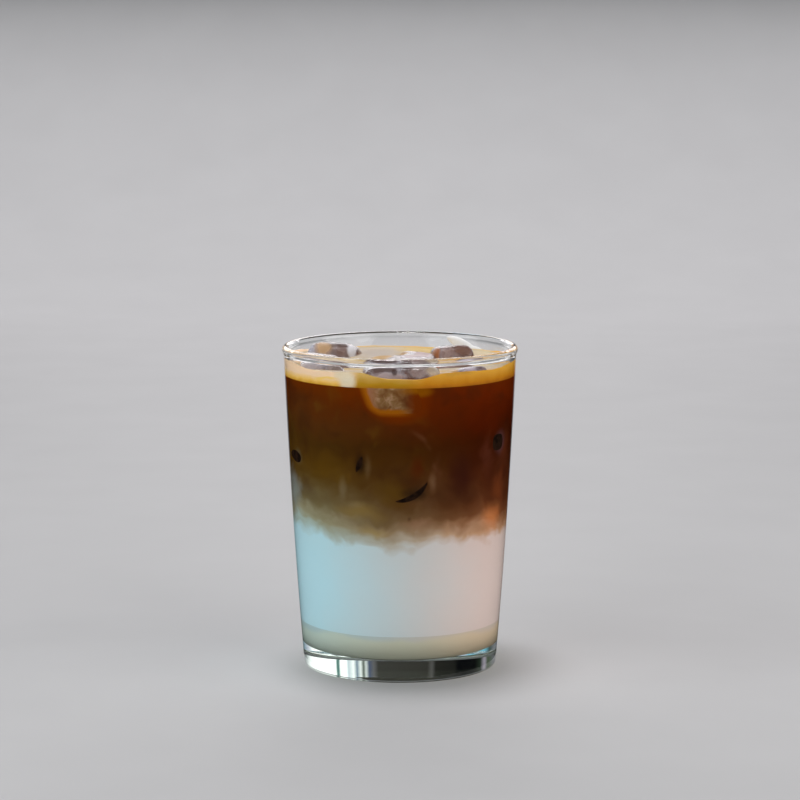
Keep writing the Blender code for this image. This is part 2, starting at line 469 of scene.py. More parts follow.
def foam_surface(share, angle):
    """Crema's top: a slight swell, a meniscus at the wall and a fine uneven froth."""
    radius = share * inner_radius(SURFACE_LEVEL)
    point = Vector((radius * math.cos(angle), radius * math.sin(angle), 0.0))
    froth = sum(depth * noise.noise(point * fineness) for depth, fineness in FROTH)
    before_ice = smooth_step(*DIP_ALONG, point.y) * smooth_step(*DIP_ASIDE, abs(point.x - DIP_MIDDLE))
    at_side = smooth_step(*FOAM_SIDES, abs(math.cos(angle)))
    climb = FOAM_CLIMB + (FOAM_CLIMB_LEFT if math.cos(angle) < 0 else FOAM_CLIMB_RIGHT) * at_side
    meniscus = climb * smooth_step(FOAM_CLIMB_FROM, 1.0, share) * (1 - before_ice)
    swell = share * waves(FOAM_SWELL, angle)
    return SURFACE_LEVEL + swell + froth + meniscus - FOAM_DIP * before_ice


def ice_mesh(name, seed, grow=0.0):
    """Surface of a melting cube: a squarish rounded block with uneven faces, as a bmesh."""
    centre, half_size, turn = ICE_CUBES[name]
    mesh_data = bmesh.new()
    bmesh.ops.create_cube(mesh_data, size=2.0)
    bmesh.ops.subdivide_edges(mesh_data, edges=mesh_data.edges, cuts=ICE_GRID - 1, use_grid_fill=True)
    turned = Euler([math.radians(part) for part in turn]).to_matrix().to_4x4()
    place = Matrix.Translation(centre) @ turned
    offset = Vector([seed * part for part in ICE_SEED_STEP])
    for vert in mesh_data.verts:
        spread = Vector([math.tan(part * math.pi / 4) for part in vert.co])
        size = sum(abs(part) ** ICE_SQUARENESS for part in spread) ** (1 / ICE_SQUARENESS)
        shape = spread / size
        point = Vector([part * half for part, half in zip(shape, half_size)])
        wobble = sum(depth * noise.noise(point * fineness + offset) for depth, fineness in ICE_WOBBLE)
        vert.co = place @ (point + point.normalized() * wobble + Vector([part * grow for part in shape]))
    return mesh_data


def apply_modifiers(piece):
    """Turn the piece's modifiers into its mesh."""
    evaluated = piece.evaluated_get(bpy.context.evaluated_depsgraph_get())
    mesh = bpy.data.meshes.new_from_object(evaluated)
    piece.modifiers.clear()
    old = piece.data
    piece.data = mesh
    bpy.data.meshes.remove(old)


def cut(piece, cutter):
    """Take the cutter's volume out of the piece."""
    modifier = piece.modifiers.new("Cut", "BOOLEAN")
    modifier.operation = "DIFFERENCE"
    modifier.solver = "EXACT"
    modifier.object = cutter
    apply_modifiers(piece)


# Materials


def glass_material():
    """Clear pressed glass: a faint ripple, and a green cast where much of it lies in a line."""
    graph = Graph("clear_glass")
    place = graph.place()
    graph.set(Base_Color=(1, 1, 1, 1), Roughness=0, Transmission_Weight=1, IOR=GLASS_IOR)
    ripple = graph.noise(place, 0.09, detail=1, stretch=(1, 1, 0.35))
    graph.bump(ripple, 0.12, 0.0003)
    graph.let_lamps_through()
    graph.absorb((0.55, 1, 0.75, 1), 4)
    return graph.material


# Where the front cube lies against the wall: its x and z limits in mm, with the corner's rounding
# and how its sides slant with height; it goes on upwards behind the crema
WINDOW = (-9.0, 8.4, 94.2, CREMA_BOTTOM / MM + 4.0)
WINDOW_ROUND = 3.0
WINDOW_SLANT = 0.36


def window_distance(graph, across, height):
    """How far a point is outside the front cube's patch on the wall, in mm; less than 0 inside it."""
    left, right, low, high = WINDOW
    slanted = graph.total(across, graph.times(graph.math("SUBTRACT", height, low), WINDOW_SLANT))
    middle = ((left + right) / 2, (low + high) / 2)
    half = ((right - left) / 2 - WINDOW_ROUND, (high - low) / 2 - WINDOW_ROUND)
    away = []
    for part, centre, reach in zip((slanted, height), middle, half):
        offset = graph.math("ABSOLUTE", graph.math("SUBTRACT", part, centre))
        away.append(graph.math("MAXIMUM", graph.math("SUBTRACT", offset, reach), 0))
    squares = [graph.times(part, part) for part in away]
    corner = graph.math("SQRT", graph.total(*squares))
    return graph.math("SUBTRACT", corner, WINDOW_ROUND)


def window_material():
    """The front cube's face on the wall, seen through a film of coffee."""
    graph = Graph("ice_front_face")
    place = graph.place()
    across, _, height = graph.split(graph.sway(place, 0.5, 0.9))
    outside = window_distance(graph, across, height)
    cloud = graph.noise(place, 0.30, detail=3, distortion=0.4)
    body = graph.ramp(cloud, 0.30, 0.70, [
        (0.30, seen(86, 52, 28)),
        (0.45, seen(104, 72, 42)),
        (0.56, seen(114, 84, 52)),
        (0.68, seen(140, 112, 84)),
    ])
    body = graph.mix(graph.times(graph.spread(across, -6, -11), 0.7), body, seen(154, 106, 80))
    splinters = graph.cracks(graph.sway(place, 0.3, 2.5), 0.42, 0.10)
    near_splinters = graph.spot(place, on_front_wall(-3.6, 98), (4, 4, 3.6))
    body = graph.mix(graph.times(splinters, near_splinters, 0.6), body, seen(150, 120, 92))
    dark = graph.spot(place, on_front_wall(2.6, 97.2), (2.8, 4, 2.6))
    body = graph.mix(graph.times(dark, 0.75), body, seen(76, 42, 20))
    body = graph.mix(graph.spread(across, 0.8, 5.4), body, seen(94, 38, 5))
    top = graph.times(graph.spread(height, 99.4, 101.6), graph.band(across, 5, 8))
    body = graph.mix(graph.times(top, 0.9), body, seen(124, 74, 6))
    rim = graph.times(graph.spread(outside, -1.5, -0.3), graph.spread(across, 4.5, -1))
    body = graph.mix(rim, body, seen(140, 80, 12))
    graph.paint(body, 0.4)
    return graph.material


# Tints where the ice shows, among them painted reflections and a painted highlight: centre and half
# sizes in mm, colour shown, strength
ICE_TINTS_AND_HIGHLIGHTS = (
    # Left, at the back: a bluish side that is a painted reflection, a tan top, a brown side, a dark far
    # edge and a white arc that is a painted highlight
    ((-32, 10, 109), (3.6, 9, 4.5), (190, 194, 214), 0.75),
    ((-26.5, 9, 110.5), (4.5, 8, 4.5), (222, 180, 130), 0.9),
    ((-20.5, 9, 109), (4.5, 9, 5), (130, 96, 76), 0.8),
    ((-23.5, 21.5, 111), (9.5, 4.5, 3.5), (72, 46, 32), 0.85),
    ((-20.5, 12, 111.4), (6, 9, 1.9), (74, 44, 30), 0.85),
    ((-17, 10, 109), (2.2, 7, 4.5), (246, 246, 252), 0.95),
    # Left, in front: a painted lilac reflection, then brown
    ((-30.5, -12, 108), (6.5, 10, 4.5), (200, 188, 190), 0.85),
    ((-22, -12, 108), (4, 10, 4.5), (142, 120, 108), 0.8),
    # Middle: golden foam on the left and a painted lilac reflection on the right, with dark edges
    ((0, 1, 109.5), (4.5, 5, 3.5), (190, 142, 66), 0.95),
    ((8, 1, 109.5), (5, 6, 4), (198, 166, 164), 0.9),
    ((0, 8, 109.5), (7, 2.5, 3), (120, 92, 84), 0.7),
    # Right, at the back: orange, pinkish brown, then dark red brown
    ((12.5, 9, 108), (2.4, 7, 4.5), (176, 102, 34), 0.9),
    ((16.5, 9, 108.5), (3.2, 8, 4.5), (150, 116, 104), 0.75),
    ((22, 10, 110), (5.5, 9, 5), (112, 66, 38), 0.85),
    # Right, in front: golden, a painted lilac reflection, then a dark end
    ((17.5, -22, 108), (3.6, 7, 3.5), (224, 172, 92), 0.85),
    ((22.5, -22, 108), (4, 7, 3.5), (196, 182, 198), 0.85),
    ((27, -20, 108), (3, 7, 3.5), (92, 70, 74), 0.85),
    # Front: on top golden foam, then a painted lilac reflection, with a dark far edge
    ((-7, -18.5, 111), (7, 9.5, 2.6), (212, 166, 92), 0.95),
    ((6, -17, 111), (8, 9, 2.6), (196, 164, 162), 0.85),
    ((-4, -11.5, 110.6), (8, 2.4, 2.6), (116, 80, 58), 0.85),
    # Front: on its side brown above, a painted lilac reflection below, a dark nick, then tan on the
    # right
    ((-6.5, -34.5, 108.8), (8, 6, 2.2), (72, 40, 28), 0.95),
    ((-4, -35, 105.8), (8.5, 5, 2.2), (172, 152, 152), 0.9),
    ((-1.8, -35, 107.9), (1.6, 5, 2), (62, 34, 26), 0.9),
    ((6, -33, 108), (4.5, 8, 3.5), (160, 138, 130), 0.7),
    ((11.5, -33, 108), (4, 9, 3.5), (188, 168, 138), 0.85),
)


def paint_ice_tints_and_highlights(graph, place, colour, clear):
    """Melting faces catch the foam and the coffee, and some patches are painted reflections and a
    painted highlight: patches of tint, each a little clouded.
    """
    moved = graph.sway(place, 0.3, 2.2)
    for centre, size, shown, strength in ICE_TINTS_AND_HIGHLIGHTS:
        patch = graph.times(graph.spot(moved, centre, size, hard=0.45), strength)
        colour = graph.mix(patch, colour, seen(*shown, light=TOP_LIGHT))
        clear = graph.times(clear, graph.math("SUBTRACT", 1, graph.times(patch, 0.85)))
    on_front_cube = graph.spot(place, (5.5, -34, 108.6), (5.5, 7, 2.4), hard=0.4)
    specks = graph.times(graph.cracks(place, 1.3, 0.16), on_front_cube)
    return graph.mix(graph.times(specks, 0.6), colour, seen(112, 76, 58, light=TOP_LIGHT)), clear


def ice_material():
    """Clear at the edges, clouded and crackled inside, with dents left by melting."""
    graph = Graph("ice")
    place = graph.place()
    cloud = graph.noise(place, 0.16, detail=3, distortion=0.5)
    crackle = graph.cracks(graph.sway(place, 0.3, 3), 0.42, 0.10)
    patch = graph.spread(graph.noise(place, 0.11, detail=1), 0.50, 0.62)
    line = graph.times(crackle, patch, 0.6)
    colour = graph.mix(graph.spread(cloud, 0.35, 0.65), srgb(196, 180, 182), srgb(224, 216, 224))
    colour = graph.mix(line, colour, srgb(250, 246, 244))
    haze = graph.spread(cloud, 0.35, 0.75, 0.99, 0.74)
    clear = graph.math("SUBTRACT", haze, graph.times(line, 0.45))
    colour, clear = paint_ice_tints_and_highlights(graph, place, colour, clear)
    rough = graph.spread(clear, 0.5, 0, 0.04, 0.65)
    graph.set(Base_Color=colour, Roughness=rough, Transmission_Weight=clear, IOR=ICE_IOR)
    graph.set(Specular_IOR_Level=0.15)
    dents = graph.noise(place, 0.35, detail=3)
    graph.bump(dents, 0.5, 0.0008)
    graph.let_lamps_through()
    return graph.material


# Condensed milk as it shows on the left, in the middle and on the right; the change from side to side is
# painted light, cool on the left and warm on the right
SYRUP_COLOURS = ((150, 161, 152), (155, 154, 138), (168, 151, 129))

# The drink's painted light from side to side, cool on the left and warm on the right, fades from full to
# none between these depths, in mm
SIDE_LIGHT_FADE = (26.0, 3.0)


def syrup_material():
    """Cream-coloured, milkier at its top, with painted light, cool on the left and warm on the right,
    and painted shade on the middle of its underside.
    """
    graph = Graph("condensed_milk")
    place = graph.place()
    swayed, depth, height = graph.split(graph.sway(place, 0.06, 6))
    # Painted light: the colours shift from a cool cast on the left to a warm one on the right, fading
    # out towards the back
    across = graph.times(swayed, graph.spread(depth, *SIDE_LIGHT_FADE))
    left, centre, right = [seen(*shown, light=SYRUP_LIGHT) for shown in SYRUP_COLOURS]
    left_part = graph.mix(graph.spread(across, -32, 0), left, centre)
    base = graph.mix(graph.spread(across, 0, 30), left_part, right)
    near_milk = graph.spread(height, SYRUP_LEVEL / MM - 2.4, SYRUP_LEVEL / MM + 0.2)
    # The milky top has the same painted light, cool on the left and warm on the right
    milky = graph.mix(graph.spread(across, -28, 28), seen(158, 176, 176), seen(184, 170, 160))
    colour = graph.mix(near_milk, base, milky)
    # Painted shade: the middle of the underside is painted dark where shade falls
    true_across, _, true_height = graph.split(place)
    under = graph.spread(true_height, FLOOR_HEIGHT / MM + 0.8, FLOOR_HEIGHT / MM)
    in_middle = graph.spread(graph.math("ABSOLUTE", true_across), 22, 12)
    colour = graph.mix(graph.times(under, in_middle), colour, seen(84, 80, 72, light=SYRUP_LIGHT))
    graph.paint(colour, 0.4)
    return graph.material


# Colours up the milk and the coffee: height in mm, then as they show on the left and on the right, where
# painted light makes the left cool and the right warm
MIX_ENDS = (44.0, 104.0)
MIX_COLOURS = (
    (47.5, (168, 196, 203), (198, 182, 177)),
    (51, (154, 168, 162), (174, 136, 106)),
    (54.5, (138, 132, 106), (138, 97, 68)),
    (58.5, (110, 98, 68), (102, 60, 36)),
    (64, (92, 74, 42), (80, 42, 22)),
    (70, (80, 58, 22), (70, 32, 15)),
    (76, (76, 51, 14), (60, 24, 9)),
    (82, (66, 42, 12), (58, 20, 4)),
    (90, (76, 42, 14), (72, 22, 3)),
    (98, (82, 36, 6), (84, 27, 3)),
    (102.5, (92, 38, 3), (86, 30, 4)),
)

# Patches in the coffee: x and z on the front wall, half sizes in mm, colour shown, strength
COFFEE_PATCHES = (
    ((-3.5, 67), (9, 6.5), (82, 57, 10), 0.75),
    ((-25.5, 73), (9, 9), (84, 58, 12), 0.6),
    ((5.5, 75.5), (4.5, 6), (76, 24, 3), 0.7),
    ((20.5, 71), (8.5, 11), (48, 19, 14), 0.8),
    ((28.5, 78), (2.2, 11), (88, 44, 30), 0.5),
    ((12, 74), (1.8, 8), (92, 56, 36), 0.45),
    ((-14, 59.5), (12, 3.4), (132, 106, 52), 0.5),
    ((-9, 54), (9, 3), (150, 124, 66), 0.5),
    ((5, 56.5), (8, 3), (142, 104, 80), 0.5),
    ((15.5, 53), (3.6, 5.5), (170, 132, 100), 0.5),
    ((30, 56), (7, 8), (200, 120, 66), 0.65),
    ((32.5, 66), (5, 7), (124, 62, 30), 0.6),
    ((33.5, 77), (4, 10), (92, 44, 24), 0.55),
    ((-34, 62), (4, 13), (128, 136, 134), 0.7),
)

# Soft tone round the marks of sunk ice, in the same form
MARK_HALOS = (
    ((5, 66.2), (6.6, 3.6), (34, 22, 12), 0.85),
    ((-13, 76), (2.6, 5.4), (30, 20, 12), 0.9),
    ((-10.6, 75), (1.6, 6), (104, 84, 56), 0.35),
    ((10.8, 70), (1.8, 5), (124, 92, 66), 0.45),
    ((-19, 66.5), (2, 6.5), (118, 104, 78), 0.45),
    ((-15, 62), (5, 2), (124, 106, 74), 0.4),
    ((33, 81), (3.6, 5.6), (84, 66, 74), 0.6),
    ((-33.6, 75.6), (4, 4), (92, 88, 70), 0.5),
    ((3.2, 57.5), (1, 1.3), (70, 44, 26), 0.7),
    ((-0.5, 92.2), (9, 3.4), (104, 42, 2), 0.75),
)

# The round end of a sunk ice cube, dim through the coffee: its centre on the wall and radius, in mm
SUNKEN_CENTRE = (-1.6, 75.6)
SUNKEN_RADIUS = 12.0


def coffee_glow(graph, place, colour):
    """Thin coffee round the front cube lets light through: amber at the cube, then orange, then dark."""
    across, depth, height = graph.split(place)
    outside = window_distance(graph, across, height)
    front = graph.spread(depth, -10, -20)
    orange = graph.times(graph.spread(outside, 4, 0.2), front, graph.spread(across, 16, 5))
    amber = graph.times(graph.spread(outside, 2.2, 0), front, graph.spread(across, 6, -1))
    colour = graph.mix(graph.times(orange, 0.85), colour, seen(98, 36, 2))
    colour = graph.mix(graph.times(amber, 0.9), colour, seen(140, 78, 10))
    strip = graph.spot(place, on_front_wall(7, 101.2), (5.5, 8, 2.6), hard=0.3)
    return graph.mix(graph.times(strip, 0.8), colour, seen(120, 70, 4))


def drink_material():
    """Coffee and milk share one colour, set by place, so that they cloud into each other."""
    graph = Graph("coffee_and_milk")
    place = graph.place()
    true_across, true_depth, true_height = graph.split(place)
    swirled = graph.sway(graph.sway(place, 0.045, 11), 0.15, 5)
    across, _, height = graph.split(swirled)
    wisps = graph.noise(swirled, 0.16, distortion=0.3, stretch=(0.8, 0.8, 1.5))
    puffs = graph.noise(place, 0.07, detail=1)
    level = graph.total(height, graph.centred(wisps, 6), graph.centred(puffs, 8))
    left, right = [
        graph.column(level, MIX_ENDS, [(row[0], row[side]) for row in MIX_COLOURS]) for side in (1, 2)
    ]
    # Painted light: the left colours carry a cool cast and the right ones a warm cast, fading out
    # towards the back
    shift = graph.times(across, graph.spread(true_depth, *SIDE_LIGHT_FADE))
    colour = graph.mix(graph.spread(shift, -27, 27, smooth=False), left, right)
    blotches = graph.noise(swirled, 0.075)
    in_coffee = graph.spread(true_height, 58, 66)
    on_left = graph.spread(true_across, 16, -4)
    gold = graph.times(graph.spread(blotches, 0.52, 0.72), on_left, in_coffee)
    colour = graph.mix(graph.times(gold, 0.5), colour, seen(96, 68, 20))
    dusk = graph.times(graph.spread(blotches, 0.48, 0.30), in_coffee)
    colour = graph.mix(graph.times(dusk, 0.4), colour, seen(52, 24, 12))
    for moved, rows in ((swirled, COFFEE_PATCHES), (graph.sway(place, 0.3, 1.2), MARK_HALOS)):
        for spot, size, shown, strength in rows:
            patch = graph.spot(moved, on_front_wall(*spot), (size[0], max(size), size[1]))
            colour = graph.mix(graph.times(patch, strength), colour, seen(*shown))

    centre = (SUNKEN_CENTRE[0], 0.0, SUNKEN_CENTRE[1])
    offset = graph.vector("SUBTRACT", graph.sway(place, 0.12, 1.6), centre)
    from_sunken = graph.vector("LENGTH", graph.vector("MULTIPLY", offset, (1, 0, 1)))
    front = graph.spread(true_depth, -12, -24)
    broken = graph.spread(graph.noise(place, 0.13, detail=1), 0.42, 0.62)
    right_part = graph.spread(true_across, 2, 8)
    edge = graph.times(graph.band(from_sunken, SUNKEN_RADIUS + 1.2, 1.4), front, broken, right_part)
    colour = graph.mix(graph.times(edge, 0.4), colour, seen(100, 66, 44))
    colour = coffee_glow(graph, place, colour)
    graph.paint(colour, 0.4)
    return graph.material


# Crema: colours up its side on the left, in the middle and on the right, by height in mm
CREMA_ENDS = (102.0, 107.2)
CREMA_SIDE = (
    ((102.3, (204, 150, 48)), (103.4, (226, 184, 94)), (105.4, (228, 198, 166))),
    ((102.3, (158, 108, 24)), (103.6, (170, 128, 28)), (106.9, (196, 160, 90))),
    ((102.3, (156, 94, 22)), (103.6, (182, 120, 26)), (106.9, (204, 152, 56))),
)

# Patches on the crema: centre and half sizes in mm, colour shown, light that falls there, strength
CREMA_PATCHES = (
    ((-18.8, -33, 106.2), (4.6, 9, 4), (216, 200, 172), CREMA_LIGHT, 0.9),
    ((-17.6, -33, 103.4), (4.2, 9, 4), (214, 202, 178), CREMA_LIGHT, 0.9),
    ((-24.5, -29, 104.8), (5, 9, 1), (226, 190, 96), CREMA_LIGHT, 0.8),
    ((-9, 22, 106.7), (12, 19, 3), (200, 186, 172), TOP_LIGHT, 0.9),
    ((9, 29, 106.7), (13, 13, 3), (222, 190, 118), TOP_LIGHT, 0.9),
    ((24.5, 29, 106.7), (4.5, 8, 3), (214, 210, 202), TOP_LIGHT, 0.9),
    ((30, 18, 106.7), (5.5, 12, 3), (224, 206, 168), TOP_LIGHT, 0.8),
    ((-1, 10, 106.7), (6, 4, 3), (190, 160, 110), TOP_LIGHT, 0.8),
    ((-20, -22, 106.7), (10, 9, 2), (204, 188, 172), TOP_LIGHT, 0.7),
    ((19, -29, 106.9), (8, 7, 1.6), (212, 158, 70), TOP_LIGHT, 0.9),
)


def crema_material():
    """Golden foam with milky streaks, which turns coffee-coloured in the pockets round the ice."""
    graph = Graph("crema")
    place = graph.place()
    swirled = graph.sway(graph.sway(place, 0.06, 7), 0.25, 2.4, detail=3)
    true_height = graph.split(place)[2]
    across = graph.split(swirled)[0]
    level = graph.total(true_height, graph.centred(graph.noise(place, 0.2), 2))
    left, middle, right = [graph.column(level, CREMA_ENDS, rows, CREMA_LIGHT) for rows in CREMA_SIDE]
    colour = graph.mix(graph.spread(across, -19, -13), left, middle)
    colour = graph.mix(graph.spread(across, -2, 10), colour, right)
    radial = graph.vector("LENGTH", graph.vector("MULTIPLY", place, (1, 1, 0)))
    off_wall = graph.spread(radial, 38, 37.2)
    high_up = graph.spread(true_height, SURFACE_LEVEL / MM - 0.9, SURFACE_LEVEL / MM + 0.1)
    top = graph.times(high_up, off_wall)
    golden = graph.spread(graph.noise(swirled, 0.07), 0.44, 0.62)
    pale, gold = seen(208, 190, 164, light=TOP_LIGHT), seen(214, 180, 116, light=TOP_LIGHT)
    colour = graph.mix(top, colour, graph.mix(golden, pale, gold))
    for centre, size, shown, light, strength in CREMA_PATCHES:
        patch = graph.spot(swirled, centre, size, hard=0.35)
        colour = graph.mix(graph.times(patch, strength), colour, seen(*shown, light=light))
    pocket = graph.times(graph.spread(radial, 37.2, 36.6), graph.spread(true_height, 106.2, 105.4))
    colour = graph.mix(pocket, colour, seen(112, 66, 34, light=CREMA_LIGHT))
    froth = graph.noise(place, 2.2, detail=3)
    graph.paint(colour, 0.55, gloss=0.04)
    graph.bump(froth, 0.3, 0.0003)
    return graph.material


def dark_edge_material():
    """The edge of sunk ice, where it lies against the wall and shows dark."""
    graph = Graph("sunken_ice_edge")
    place = graph.place()
    cloud = graph.spread(graph.noise(place, 0.5), 0.35, 0.65)
    colour = graph.mix(cloud, seen(22, 14, 10), seen(38, 24, 16))
    graph.paint(colour, 0.5)
    return graph.material


# Thin pieces in the drink's side and on the wall above it

# Ribbons: how far they stand out of the side, how deep they lie in it, and their steps and sides
MARK_PROUD = 0.00004
MARK_DEPTH = 0.0006
MARK_STEPS = 24
MARK_SIDES = 10

# Splash: its thickness in metres, then each streak's ends as x and z on the back wall, in mm, and its
# half width there
SPLASH_THICKNESS = 0.0005
SPLASH_STREAKS = (
    ((16.8, 110.8), (28, 105.8), 2),
    ((19, 108.8), (23.5, 106.2), 1.4),
    ((24, 107.9), (31.5, 105.6), 1.3),
)

# The front cube's face
FACE_THICKNESS = 0.0004
FACE_STEPS = 32
FACE_SQUARENESS = 5.0


def add_front_face():
    """The front cube's face, a thin skin on the wall: square at the crema, with round corners below."""
    left, right, low, _ = WINDOW
    high = CREMA_BOTTOM / MM + 0.05
    mesh_data = bmesh.new()
    bmesh.ops.create_grid(mesh_data, x_segments=FACE_STEPS, y_segments=FACE_STEPS, size=1.0)
    for vert in mesh_data.verts:
        across, down = vert.co.x, (1 - vert.co.y) / 2
        size = (abs(across) ** FACE_SQUARENESS + down ** FACE_SQUARENESS) ** (1 / FACE_SQUARENESS)
        scale = max(abs(across), down) / size if size else 1.0
        height = high - (high - low) * down * scale
        middle = (left + right) / 2 - WINDOW_SLANT * (height - low)
        place = middle + (right - left) / 2 * across * scale
        vert.co = wall_point(place * MM, height * MM, -MARK_PROUD)
    bmesh.ops.solidify(mesh_data, geom=mesh_data.faces[:], thickness=FACE_THICKNESS)
    face = add_object("ice_front_face", mesh_data, window_material())
    hand_over(face, "ice")


def wall_ribbon(mesh_data, path, half_width, thickness=MARK_DEPTH, side=FRONT):
    """A lens-shaped sliver in the drink's side along path(share), which gives x and z in millimetres."""
    rings = []
    for step in range(1, MARK_STEPS):
        share = step / MARK_STEPS
        here, after = Vector(path(share)), Vector(path(share + 0.01))
        along = (after - here).normalized()
        aside = Vector((-along.y, along.x)) * half_width(share)
        ring = []
        for turn in range(MARK_SIDES):
            angle = 2 * math.pi * turn / MARK_SIDES
            point = here + aside * math.cos(angle)
            depth = -MARK_PROUD if math.sin(angle) >= 0 else thickness * -math.sin(angle)
            ring.append(mesh_data.verts.new(wall_point(point.x * MM, point.y * MM, depth, side)))
        rings.append(ring)
    ends = [wall_point(x * MM, z * MM, 0, side) for x, z in (path(0), path(1))]
    low_pole, high_pole = [mesh_data.verts.new(end) for end in ends]
    skin(mesh_data, low_pole, rings, high_pole)


def arc_path(centre, radius, start, end):
    """An arc on the wall, from and to these angles in degrees, counted from +x towards +z."""
    def path(share):
        angle = math.radians(start + (end - start) * share)
        return centre[0] + radius * math.cos(angle), centre[1] + radius * math.sin(angle)

    return path


def line_path(start, end):
    return lambda share: tuple(low + (high - low) * share for low, high in zip(start, end))


def taper(width, fullness=0.5):
    """A half width that runs out to nothing at both ends, the more slowly the fuller it is."""
    return lambda share: width * math.sin(math.pi * min(1, max(0, share))) ** fullness


def add_sunken_marks():
    """The crescent under a sunk cube's round end, and the ends of three others."""
    mesh_data = bmesh.new()
    wall_ribbon(mesh_data, arc_path(SUNKEN_CENTRE, SUNKEN_RADIUS, -90, -27), taper(1.0, 0.7))
    wall_ribbon(mesh_data, line_path((-12.5, 78.8), (-14.5, 73.2)), taper(0.85, 0.7))
    wall_ribbon(mesh_data, line_path((-34.9, 77.4), (-33.6, 73.4)), taper(1.5))
    wall_ribbon(mesh_data, line_path((32.4, 84.0), (32.2, 78.2)), taper(1.6, 0.25))
    marks = add_object("sunken_ice_edges", mesh_data, dark_edge_material())
    hand_over(marks, "ice")


def add_splash():
    """Milky foam that has run up the back wall and down it again."""
    mesh_data = bmesh.new()
    for start, end, half_width in SPLASH_STREAKS:
        wall_ribbon(mesh_data, line_path(start, end), taper(half_width, 0.6), SPLASH_THICKNESS, BACK)
    graph = Graph("milk_splash")
    thin = graph.noise(graph.sway(graph.place(), 0.3, 3.0), 0.5, detail=3.0)
    colour = graph.mix(thin, seen(214, 212, 212, light=0.8), seen(234, 230, 232, light=0.8))
    graph.paint(colour, 0.5, gloss=0.2)
    graph.bump(thin, 0.3, 0.0003)
    splash = add_object("milk_splash", mesh_data, graph.material)
    hand_over(splash, "crema")


# The object

clear_glass = glass_material()
ice = ice_material()
drink = drink_material()

tumbler = turned_solid("tumbler", tumbler_profile(), clear_glass)
hand_over(tumbler, "clear_glass", "glass")

syrup_corner = rounded_corner(inner_radius, FLOOR_HEIGHT, FLOOR_ROUND, FLOOR_STEPS, inset=-BITE)
syrup_top = (inner_radius(SYRUP_LEVEL) + BITE, SYRUP_LEVEL)
syrup_points = [(0.0, FLOOR_HEIGHT - BITE)] + syrup_corner + [syrup_top, (0.0, SYRUP_LEVEL)]
syrup = turned_solid("syrup_layer", syrup_points, syrup_material())
hand_over(syrup, "condensed_milk", "condensed_milk")

milk = drink_layer("milk_layer", flat(SYRUP_LEVEL), mix_surface, WALL_STEPS, drink)
hand_over(milk, "milk", "milk")

coffee = drink_layer("coffee_layer", mix_surface, flat(CREMA_BOTTOM), WALL_STEPS, drink)
crema = drink_layer("crema_layer", flat(CREMA_BOTTOM), foam_surface, FOAM_STEPS, crema_material())

for seed, name in enumerate(ICE_CUBES):
    pocket = add_object("pocket", ice_mesh(name, seed, -ICE_SINK), ice)
    cut(crema, pocket)
    cut(coffee, pocket)
    bpy.data.objects.remove(pocket)
    cube = add_object(name + "_cube", ice_mesh(name, seed), ice)
    hand_over(cube, "ice", name)

hand_over(coffee, "coffee", "coffee")
hand_over(crema, "crema", "crema")
add_front_face()
add_sunken_marks()
add_splash()

# Studio

CARD_INNER = 0.036
CARD_OUTER = 1.5
CARD_HEIGHT = 0.001
CARD_SEGMENTS = 72
BEND_STEPS = 16
AIM = (0.0, 0.0, 0.06)


def area_light(name, place, size, power, colour):
    """A soft lamp that faces the glass and isn't seen itself."""
    data = bpy.data.lights.new(name, "AREA")
    data.shape = "RECTANGLE"
    data.size, data.size_y = size
    data.energy = power
    data.color = colour
    lamp = bpy.data.objects.new(name, data)
    lamp.location = place
    lamp.rotation_euler = (Vector(AIM) - Vector(place)).to_track_quat("-Z", "Y").to_euler()
    lamp.visible_camera = False
    bpy.context.collection.objects.link(lamp)


def around(azimuth, elevation, distance):
    """A place round the glass: azimuth in degrees from the camera's side towards +x."""
    turn, rise = math.radians(azimuth), math.radians(elevation)
    level = distance * math.cos(rise)
    return level * math.sin(turn), -level * math.cos(turn), distance * math.sin(rise) + AIM[2]


def stage_card(name, mesh_data, graph, reflected, refracted):
    """A card that the camera doesn't see, only the glass's reflections or its refractions."""
    card = add_object(name, mesh_data, graph.material)
    card.visible_camera = False
    card.visible_diffuse = False
    card.visible_shadow = False
    card.visible_glossy = reflected
    card.visible_transmission = refracted


def table_card():
    """Lies round the glass so that the coffee reflects no pale floor: black, fading out behind it."""
    mesh_data = bmesh.new()
    inner, outer = [], []
    for segment in range(CARD_SEGMENTS):
        angle = 2 * math.pi * segment / CARD_SEGMENTS
        for ring, radius in ((inner, CARD_INNER), (outer, CARD_OUTER)):
            point = (radius * math.cos(angle), radius * math.sin(angle), CARD_HEIGHT)
            ring.append(mesh_data.verts.new(point))
    for segment in range(CARD_SEGMENTS):
        after = (segment + 1) % CARD_SEGMENTS
        mesh_data.faces.new((inner[segment], outer[segment], outer[after], inner[after]))

    graph = Graph("table_card")
    place = graph.node("ShaderNodeTexCoord").outputs["Object"]
    away = graph.vector("LENGTH", graph.vector("MULTIPLY", place, (1.0, 1.0, 0.0)))
    behind = graph.math("DIVIDE", graph.split(place)[1], away)
    towards_rim = graph.spread(away, CARD_OUTER, CARD_OUTER * 0.6)
    fade = graph.times(graph.spread(behind, 1.02, 0.90), towards_rim)
    graph.set(Base_Color=(0.0, 0.0, 0.0, 1.0), Roughness=1.0, Specular_IOR_Level=0.0, Alpha=fade)
    stage_card("table_card", mesh_data, graph, reflected=True, refracted=False)


